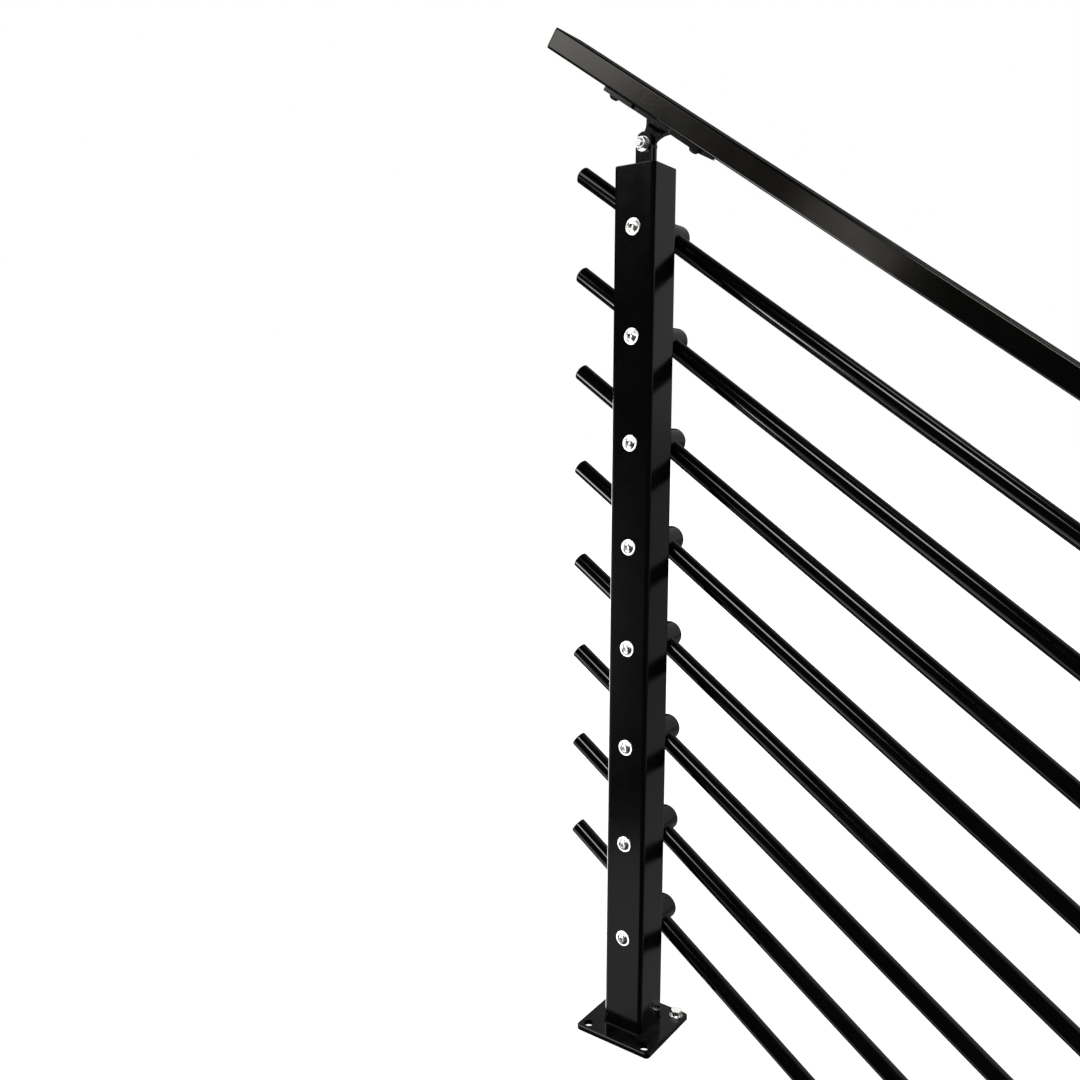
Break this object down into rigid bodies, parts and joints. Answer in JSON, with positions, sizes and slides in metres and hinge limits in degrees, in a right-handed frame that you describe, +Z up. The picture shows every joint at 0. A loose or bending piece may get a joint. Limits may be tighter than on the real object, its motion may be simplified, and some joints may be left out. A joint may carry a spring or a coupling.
{
  "type": "raked post and rod handrail section",
  "caption": "Sloping handrail section for steps: square posts on bolt-down base plates, round rods in swivelling holders, flat handrail on hinged saddles, adjustable for slope.",
  "frame": {"origin": "centre of the upper post's base plate, on the ground", "axes": "+Z up; +X downhill along the handrail; screw heads face -Y, rods on the +Y side"},
  "size_m": [1.0951, 0.124, 1.7307],
  "materials": {
    "black_powder_coat": "satin black powder coat",
    "black_rail_coat": "satin black powder coat",
    "black_gloss_coat": "gloss black powder coat",
    "bright_hardware": "polished stainless",
    "dark_hardware": "black oxide",
    "black_plug_plastic": "fine moulded black"
  },
  "bodies": {
    "post_a": {"hinge_a_bolt": "bright_hardware", "hinge_a_nut": "bright_hardware", "hinge_a_washers": "bright_hardware", "post_a_anchor_bolt": "bright_hardware", "post_a_base_plate": "black_powder_coat", "post_a_fork": "black_powder_coat", "post_a_rod_screws": "bright_hardware", "post_a_top_cap": "black_powder_coat", "post_a_tube": "black_powder_coat", "post_a_weld_bead": "black_powder_coat"},
    "handrail": {"handrail_lower_end_cap": "black_plug_plastic", "handrail_tube": "black_rail_coat", "handrail_upper_end_cap": "black_plug_plastic", "saddle_a": "black_powder_coat", "saddle_b": "black_powder_coat", "saddle_screws": "dark_hardware"},
    "post_b": {"hinge_b_bolt": "bright_hardware", "hinge_b_nut": "bright_hardware", "hinge_b_washers": "bright_hardware", "post_b_base_plate": "black_powder_coat", "post_b_fork": "black_powder_coat", "post_b_rod_screws": "bright_hardware", "post_b_top_cap": "black_powder_coat", "post_b_tube": "black_powder_coat", "post_b_weld_bead": "black_powder_coat"},
    "rod_1": {"rod_1_end_plugs": "black_plug_plastic", "rod_1_holders": "black_gloss_coat", "rod_1_set_screws": "dark_hardware", "rod_1_tube": "black_gloss_coat"},
    "rod_2": {"rod_2_end_plugs": "black_plug_plastic", "rod_2_holders": "black_gloss_coat", "rod_2_set_screws": "dark_hardware", "rod_2_tube": "black_gloss_coat"},
    "rod_3": {"rod_3_end_plugs": "black_plug_plastic", "rod_3_holders": "black_gloss_coat", "rod_3_set_screws": "dark_hardware", "rod_3_tube": "black_gloss_coat"},
    "rod_4": {"rod_4_end_plugs": "black_plug_plastic", "rod_4_holders": "black_gloss_coat", "rod_4_set_screws": "dark_hardware", "rod_4_tube": "black_gloss_coat"},
    "rod_5": {"rod_5_end_plugs": "black_plug_plastic", "rod_5_holders": "black_gloss_coat", "rod_5_set_screws": "dark_hardware", "rod_5_tube": "black_gloss_coat"},
    "rod_6": {"rod_6_end_plugs": "black_plug_plastic", "rod_6_holders": "black_gloss_coat", "rod_6_set_screws": "dark_hardware", "rod_6_tube": "black_gloss_coat"},
    "rod_7": {"rod_7_end_plugs": "black_plug_plastic", "rod_7_holders": "black_gloss_coat", "rod_7_set_screws": "dark_hardware", "rod_7_tube": "black_gloss_coat"},
    "rod_8": {"rod_8_end_plugs": "black_plug_plastic", "rod_8_holders": "black_gloss_coat", "rod_8_set_screws": "dark_hardware", "rod_8_tube": "black_gloss_coat"}
  },
  "joints": [
    {"name": "rake_hinge", "type": "hinge", "parent": "post_a", "child": "handrail", "pos_m": [0, 0, 1.0135], "axis": [0, 1, 0], "range_deg": [-35.6, 9.4]},
    {"name": "post_b_hinge", "type": "hinge", "parent": "handrail", "child": "post_b", "pos_m": [0.8131, 0, 0.43138], "axis": [0, 1, 0], "range_deg": [-9.4, 35.6]},
    {"name": "rod_1_pivot", "type": "hinge", "parent": "post_a", "child": "rod_1", "pos_m": [0, 0.0327, 0.925], "axis": [0, 1, 0], "range_deg": [-35.6, 9.4]},
    {"name": "rod_2_pivot", "type": "hinge", "parent": "post_a", "child": "rod_2", "pos_m": [0, 0.0327, 0.81], "axis": [0, 1, 0], "range_deg": [-35.6, 9.4]},
    {"name": "rod_3_pivot", "type": "hinge", "parent": "post_a", "child": "rod_3", "pos_m": [0, 0.0327, 0.695], "axis": [0, 1, 0], "range_deg": [-35.6, 9.4]},
    {"name": "rod_4_pivot", "type": "hinge", "parent": "post_a", "child": "rod_4", "pos_m": [0, 0.0327, 0.58], "axis": [0, 1, 0], "range_deg": [-35.6, 9.4]},
    {"name": "rod_5_pivot", "type": "hinge", "parent": "post_a", "child": "rod_5", "pos_m": [0, 0.0327, 0.465], "axis": [0, 1, 0], "range_deg": [-35.6, 9.4]},
    {"name": "rod_6_pivot", "type": "hinge", "parent": "post_a", "child": "rod_6", "pos_m": [0, 0.0327, 0.35], "axis": [0, 1, 0], "range_deg": [-35.6, 9.4]},
    {"name": "rod_7_pivot", "type": "hinge", "parent": "post_a", "child": "rod_7", "pos_m": [0, 0.0327, 0.235], "axis": [0, 1, 0], "range_deg": [-35.6, 9.4]},
    {"name": "rod_8_pivot", "type": "hinge", "parent": "post_a", "child": "rod_8", "pos_m": [0, 0.0327, 0.12], "axis": [0, 1, 0], "range_deg": [-35.6, 9.4]}
  ],
  "couplings": [
    {"joint": "post_b_hinge", "follows": "rake_hinge", "ratio": -1},
    {"joint": "rod_1_pivot", "follows": "rake_hinge", "ratio": 1},
    {"joint": "rod_2_pivot", "follows": "rake_hinge", "ratio": 1},
    {"joint": "rod_3_pivot", "follows": "rake_hinge", "ratio": 1},
    {"joint": "rod_4_pivot", "follows": "rake_hinge", "ratio": 1},
    {"joint": "rod_5_pivot", "follows": "rake_hinge", "ratio": 1},
    {"joint": "rod_6_pivot", "follows": "rake_hinge", "ratio": 1},
    {"joint": "rod_7_pivot", "follows": "rake_hinge", "ratio": 1},
    {"joint": "rod_8_pivot", "follows": "rake_hinge", "ratio": 1}
  ]
}
